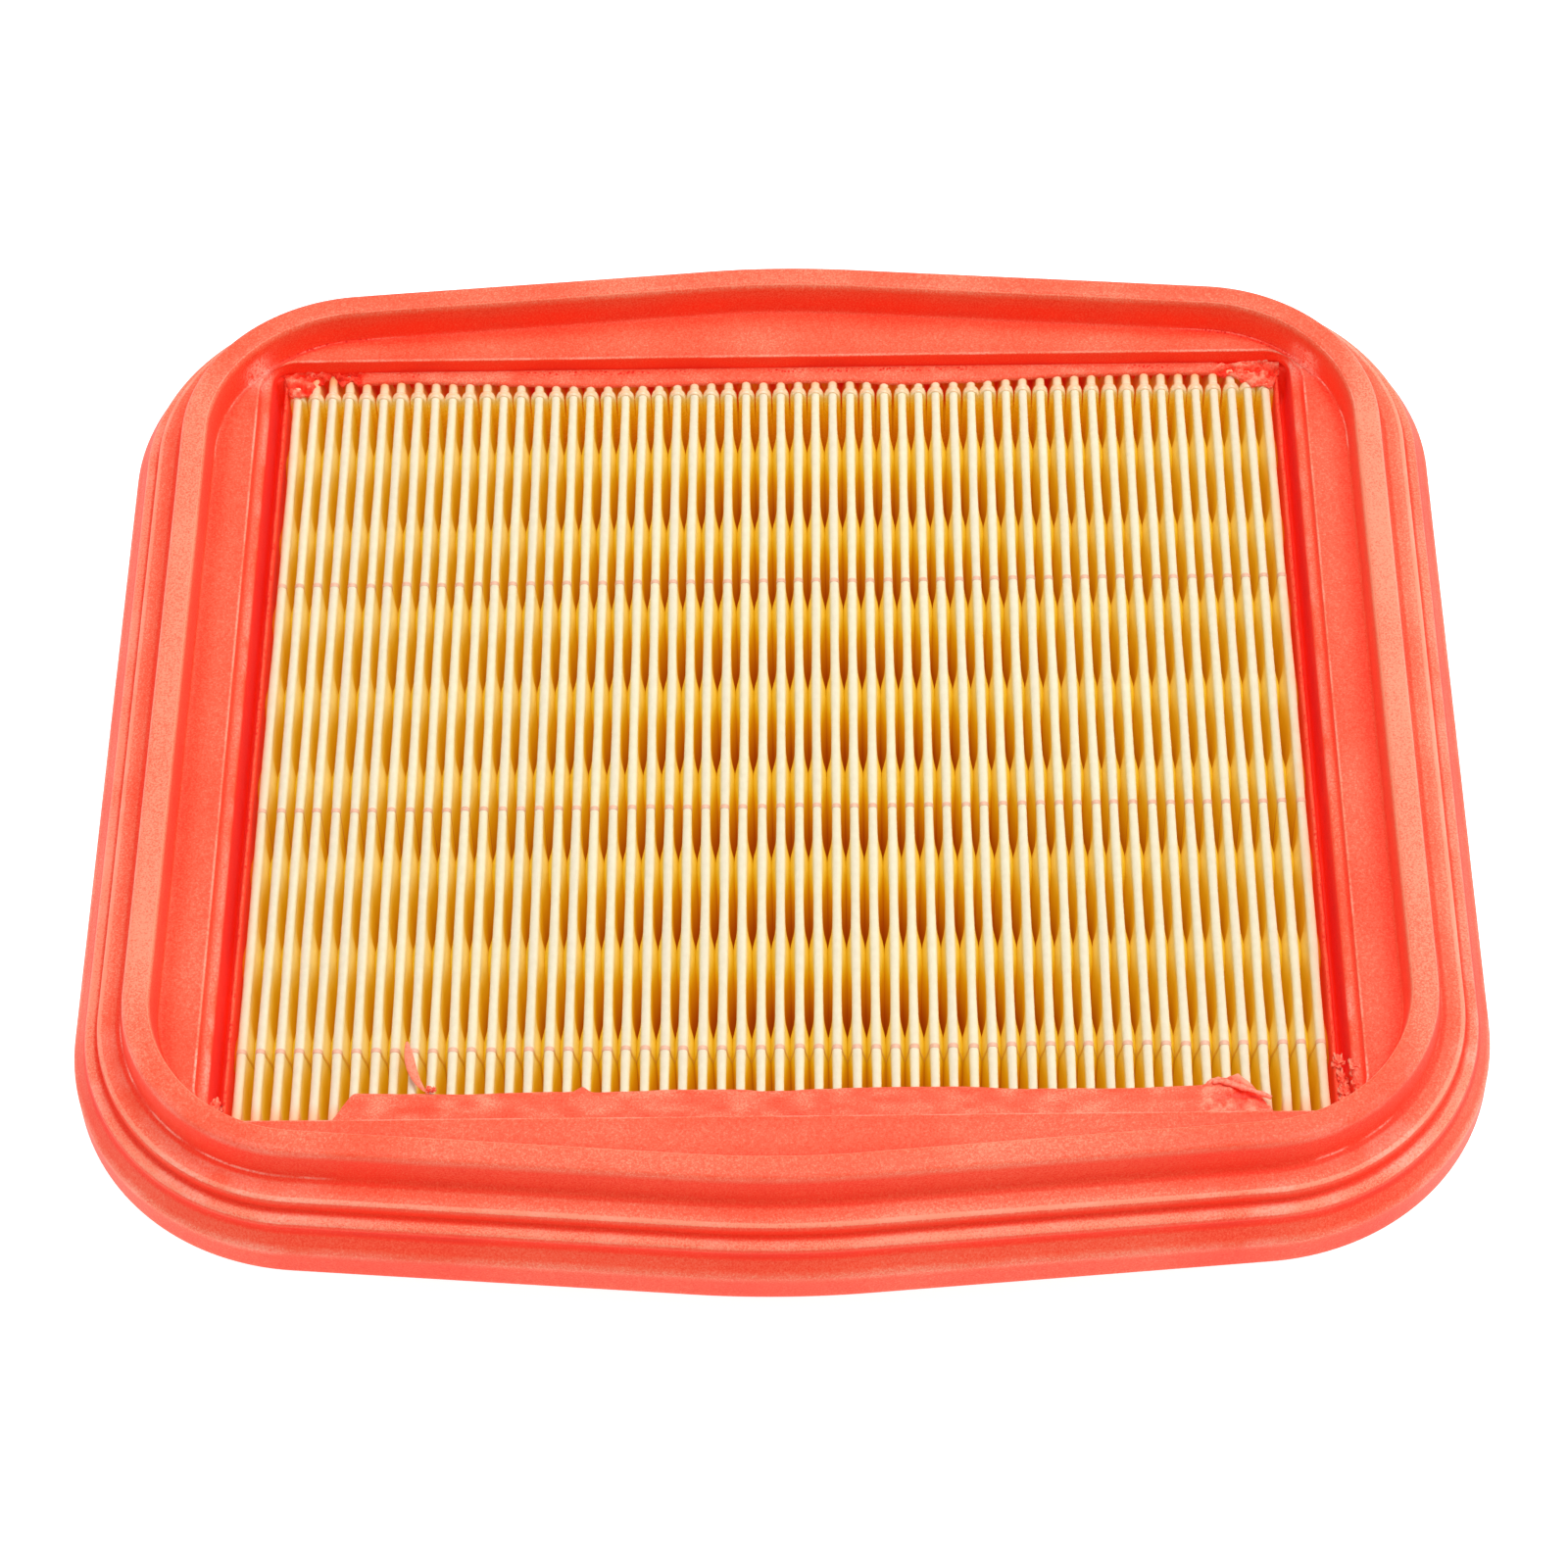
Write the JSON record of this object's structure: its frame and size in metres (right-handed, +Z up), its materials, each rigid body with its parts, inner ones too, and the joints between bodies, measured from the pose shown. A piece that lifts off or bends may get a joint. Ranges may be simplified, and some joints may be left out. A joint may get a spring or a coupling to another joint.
{
  "type": "pleated panel air filter",
  "caption": "Panel air filter for an engine airbox: a soft moulded seal frame with a raised ribbed rim round an embossed, pleated paper pack held by threads of glue.",
  "frame": {"origin": "centre of the lowest plane, the foot of the frame's skirt", "axes": "+X along the long side, across the pleats; +Y along the pleats, towards the side with the edge bead; +Z up through the pack, towards the raised rim"},
  "size_m": [0.2072, 0.1906, 0.032],
  "materials": {
    "soft_polyurethane": "matt",
    "filter_paper": "matt",
    "glue_thread": "satin",
    "glue_bead": "gloss"
  },
  "bodies": {
    "root": {"seal_frame": "soft_polyurethane", "pleated_media": "filter_paper", "glue_thread_top_rear": "glue_thread", "glue_thread_top_middle": "glue_thread", "glue_thread_top_front": "glue_thread", "glue_bead_top_rear": "glue_bead", "glue_thread_under_rear": "glue_thread", "glue_thread_under_middle": "glue_thread", "glue_thread_under_front": "glue_thread", "glue_bead_under_rear": "glue_bead"}
  },
  "joints": []
}
